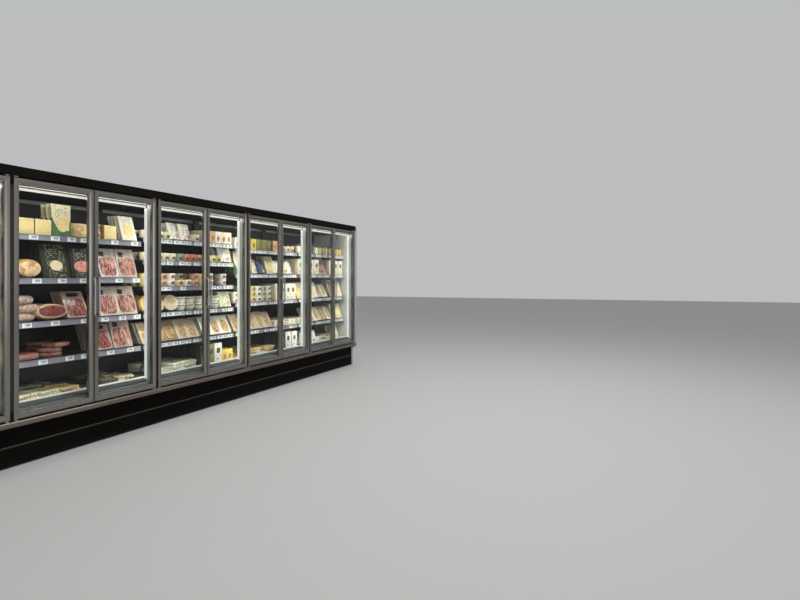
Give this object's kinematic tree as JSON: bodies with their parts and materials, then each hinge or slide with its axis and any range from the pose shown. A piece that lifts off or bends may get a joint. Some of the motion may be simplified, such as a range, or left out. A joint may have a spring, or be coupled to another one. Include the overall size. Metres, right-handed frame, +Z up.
{
  "type": "refrigerated display case row with glass doors",
  "caption": "Long row of refrigerated shop display cases with hinged double glass doors, lit shelves, price rails, insulated end walls and a dark kick panel.",
  "frame": {"origin": "centre of the bounding box at floor level, under the middle of the row", "axes": "+X along the row to its right-hand end, +Y from the doors to the back, +Z up"},
  "size_m": [6.33, 0.864, 2.05],
  "materials": {
    "galvanised_steel": "galvanised, dull",
    "kick_black": "powder coat, satin",
    "sill_stainless": "brushed",
    "tub_steel": "satin",
    "wall_grey": "satin",
    "end_wall_grey": "satin",
    "header_brown_black": "powder coat, satin",
    "portal_aluminium": "anodised",
    "liner_black": "matt",
    "deck_grey": "satin",
    "deck_lip_white": "satin",
    "shelf_black": "powder coat, satin",
    "price_rail_grey": "satin",
    "lamp_white": "opal diffuser",
    "hinge_steel": "brushed",
    "door_aluminium": "anodised, satin",
    "door_glass": "clear, double glazed",
    "handle_steel": "brushed"
  },
  "bodies": {
    "root": {"base_stands": "galvanised_steel", "kick_panels": "kick_black", "sill_rail": "sill_stainless", "tub_floor": "tub_steel", "back_wall": "wall_grey", "roof_panel": "wall_grey", "end_walls": "end_wall_grey", "header_fascia": "header_brown_black", "portal_rails": "portal_aluminium", "portal_posts": "portal_aluminium", "canopy_liner": "liner_black", "duct_panels": "liner_black", "deck_trays": "deck_grey", "deck_lips": "deck_lip_white", "shelf_uprights": "shelf_black", "shelf_brackets": "shelf_black", "shelves": "shelf_black", "price_rails": "price_rail_grey", "lamps": "lamp_white", "hinge_brackets": "hinge_steel"},
    "bay_1_left_door": {"bay_1_left_door_frame": "door_aluminium", "bay_1_left_door_glass": "door_glass", "bay_1_left_door_handle": "handle_steel"},
    "bay_1_right_door": {"bay_1_right_door_frame": "door_aluminium", "bay_1_right_door_glass": "door_glass", "bay_1_right_door_handle": "handle_steel"},
    "bay_2_left_door": {"bay_2_left_door_frame": "door_aluminium", "bay_2_left_door_glass": "door_glass", "bay_2_left_door_handle": "handle_steel"},
    "bay_2_right_door": {"bay_2_right_door_frame": "door_aluminium", "bay_2_right_door_glass": "door_glass", "bay_2_right_door_handle": "handle_steel"},
    "bay_3_left_door": {"bay_3_left_door_frame": "door_aluminium", "bay_3_left_door_glass": "door_glass", "bay_3_left_door_handle": "handle_steel"},
    "bay_3_right_door": {"bay_3_right_door_frame": "door_aluminium", "bay_3_right_door_glass": "door_glass", "bay_3_right_door_handle": "handle_steel"},
    "bay_4_left_door": {"bay_4_left_door_frame": "door_aluminium", "bay_4_left_door_glass": "door_glass", "bay_4_left_door_handle": "handle_steel"},
    "bay_4_right_door": {"bay_4_right_door_frame": "door_aluminium", "bay_4_right_door_glass": "door_glass", "bay_4_right_door_handle": "handle_steel"},
    "bay_5_left_door": {"bay_5_left_door_frame": "door_aluminium", "bay_5_left_door_glass": "door_glass", "bay_5_left_door_handle": "handle_steel"},
    "bay_5_right_door": {"bay_5_right_door_frame": "door_aluminium", "bay_5_right_door_glass": "door_glass", "bay_5_right_door_handle": "handle_steel"}
  },
  "joints": [
    {"name": "bay_1_left_hinge", "type": "hinge", "parent": "root", "child": "bay_1_left_door", "pos_m": [-3.096, -0.385, 1.155], "axis": [0, 0, -1], "range_deg": [0, 85], "stiffness_Nm_per_rad": 3, "springref_deg": -17.19},
    {"name": "bay_1_right_hinge", "type": "hinge", "parent": "root", "child": "bay_1_right_door", "pos_m": [-1.904, -0.385, 1.155], "axis": [0, 0, 1], "range_deg": [0, 85], "stiffness_Nm_per_rad": 3, "springref_deg": -17.19},
    {"name": "bay_2_left_hinge", "type": "hinge", "parent": "root", "child": "bay_2_left_door", "pos_m": [-1.846, -0.385, 1.155], "axis": [0, 0, -1], "range_deg": [0, 85], "stiffness_Nm_per_rad": 3, "springref_deg": -17.19},
    {"name": "bay_2_right_hinge", "type": "hinge", "parent": "root", "child": "bay_2_right_door", "pos_m": [-0.654, -0.385, 1.155], "axis": [0, 0, 1], "range_deg": [0, 85], "stiffness_Nm_per_rad": 3, "springref_deg": -17.19},
    {"name": "bay_3_left_hinge", "type": "hinge", "parent": "root", "child": "bay_3_left_door", "pos_m": [-0.596, -0.385, 1.155], "axis": [0, 0, -1], "range_deg": [0, 85], "stiffness_Nm_per_rad": 3, "springref_deg": -17.19},
    {"name": "bay_3_right_hinge", "type": "hinge", "parent": "root", "child": "bay_3_right_door", "pos_m": [0.596, -0.385, 1.155], "axis": [0, 0, 1], "range_deg": [0, 85], "stiffness_Nm_per_rad": 3, "springref_deg": -17.19},
    {"name": "bay_4_left_hinge", "type": "hinge", "parent": "root", "child": "bay_4_left_door", "pos_m": [0.654, -0.385, 1.155], "axis": [0, 0, -1], "range_deg": [0, 85], "stiffness_Nm_per_rad": 3, "springref_deg": -17.19},
    {"name": "bay_4_right_hinge", "type": "hinge", "parent": "root", "child": "bay_4_right_door", "pos_m": [1.846, -0.385, 1.155], "axis": [0, 0, 1], "range_deg": [0, 85], "stiffness_Nm_per_rad": 3, "springref_deg": -17.19},
    {"name": "bay_5_left_hinge", "type": "hinge", "parent": "root", "child": "bay_5_left_door", "pos_m": [1.904, -0.385, 1.155], "axis": [0, 0, -1], "range_deg": [0, 85], "stiffness_Nm_per_rad": 3, "springref_deg": -17.19},
    {"name": "bay_5_right_hinge", "type": "hinge", "parent": "root", "child": "bay_5_right_door", "pos_m": [3.096, -0.385, 1.155], "axis": [0, 0, 1], "range_deg": [0, 85], "stiffness_Nm_per_rad": 3, "springref_deg": -17.19}
  ]
}
